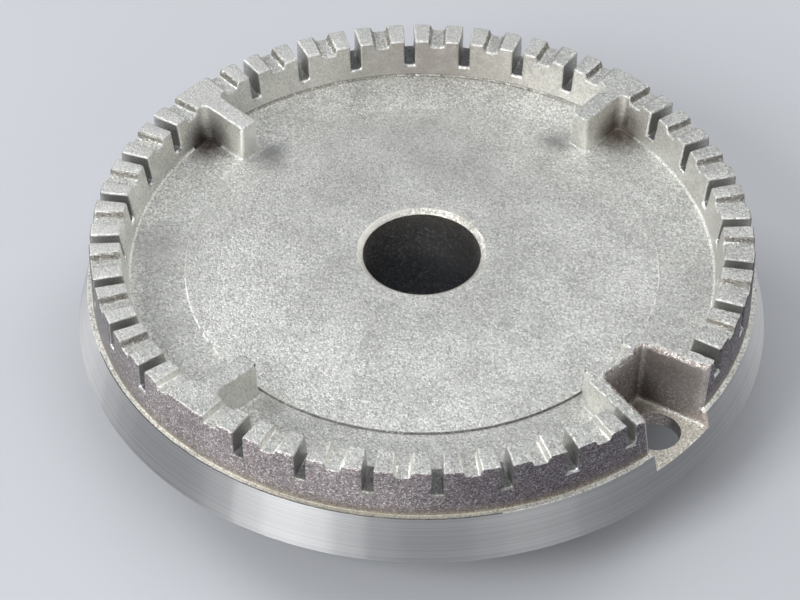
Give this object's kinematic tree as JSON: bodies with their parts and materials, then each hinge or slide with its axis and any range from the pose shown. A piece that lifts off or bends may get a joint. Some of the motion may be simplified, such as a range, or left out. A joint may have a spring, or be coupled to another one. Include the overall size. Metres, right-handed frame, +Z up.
{
  "type": "gas burner flame spreader",
  "caption": "Cast aluminium flame spreader for a kitchen gas burner: slotted port ring on a turned band, dished floor, central gas bore and an open ignition pocket with an electrode hole.",
  "frame": {"origin": "on the burner axis, at the lower end of the spigot", "axes": "+Z up the burner axis, from the spigot to the tooth tops; +X from the axis through the ignition pocket"},
  "size_m": [0.1, 0.1, 0.0273],
  "materials": {
    "cast_aluminium": "matt as cast, with a brushed turned band"
  },
  "bodies": {
    "root": {"flame_spreader": "cast_aluminium"}
  },
  "joints": []
}
